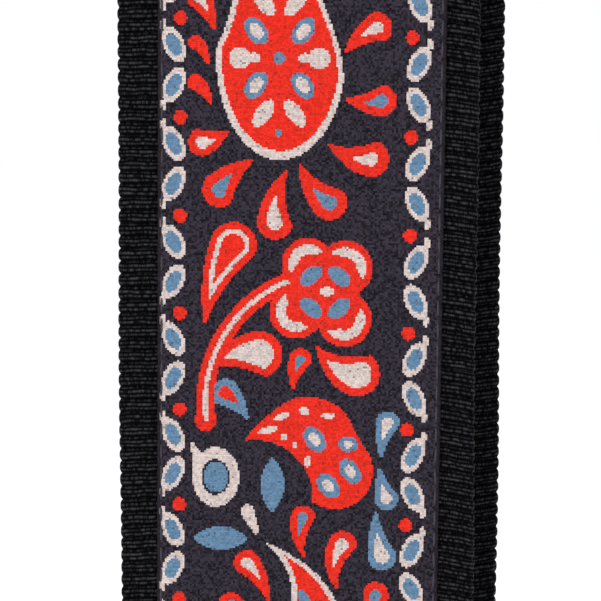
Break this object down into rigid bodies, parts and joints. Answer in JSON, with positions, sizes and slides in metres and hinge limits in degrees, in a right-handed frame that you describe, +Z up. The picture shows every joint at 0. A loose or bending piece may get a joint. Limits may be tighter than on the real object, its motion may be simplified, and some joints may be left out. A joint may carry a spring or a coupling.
{
  "type": "guitar strap",
  "caption": "Woven guitar strap with a patterned ribbon on ribbed webbing, leather button ends and a wire slider for its length, hung over a peg.",
  "frame": {"origin": "on the axis of the peg that the strap hangs on, under the middle of the front half's width", "axes": "+Z up along the hanging strap, +X across the strap along the peg, -Y out of the patterned front half"},
  "size_m": [0.0624, 0.0311, 0.6116],
  "materials": {
    "webbing": "heavy ribbed black webbing",
    "ribbon": "jacquard woven ribbon in red, cream and blue on charcoal",
    "tail_webbing": "plain flat black webbing",
    "leather": "black grained leather",
    "thread": "waxed natural thread",
    "black_thread": "black polyester thread",
    "nickel": "nickel plated steel wire"
  },
  "bodies": {
    "front_half": {"webbing_front": "webbing", "ribbon_front": "ribbon", "neck_end_outer": "leather", "neck_end_inner": "leather", "neck_end_thread": "thread"},
    "back_half": {"webbing_back": "webbing", "ribbon_back": "ribbon", "hem_thread": "black_thread"},
    "ring": {"ring": "nickel", "tail_ring_fold": "tail_webbing", "tail_inner_run": "tail_webbing", "tail_outer_run": "tail_webbing"},
    "slider": {"slider": "nickel", "tail_slider_loop": "tail_webbing", "slider_thread": "black_thread"},
    "tail_end": {"tail_webbing_end": "tail_webbing", "tail_end_outer": "leather", "tail_end_inner": "leather", "tail_end_thread": "thread"}
  },
  "joints": [
    {"name": "back_half_swing", "type": "hinge", "parent": "front_half", "child": "back_half", "pos_m": [0, 0.0099, 0], "axis": [1, 0, 0], "range_deg": [0, 60]},
    {"name": "ring_swing", "type": "hinge", "parent": "back_half", "child": "ring", "pos_m": [0.0042, 0.0099, -0.25], "axis": [1, 0, 0], "range_deg": [0, 60]},
    {"name": "slider_slide", "type": "slide", "parent": "ring", "child": "slider", "axis": [0, 0, 1], "range_m": [-0.018, 0.07], "deforming": ["tail_inner_run"]},
    {"name": "tail_slide", "type": "slide", "parent": "ring", "child": "tail_end", "axis": [0, 0, 1], "range_m": [-0.07, 0.018], "deforming": ["tail_outer_run"]}
  ],
  "couplings": [
    {"joint": "tail_slide", "follows": "slider_slide", "ratio": -1}
  ]
}
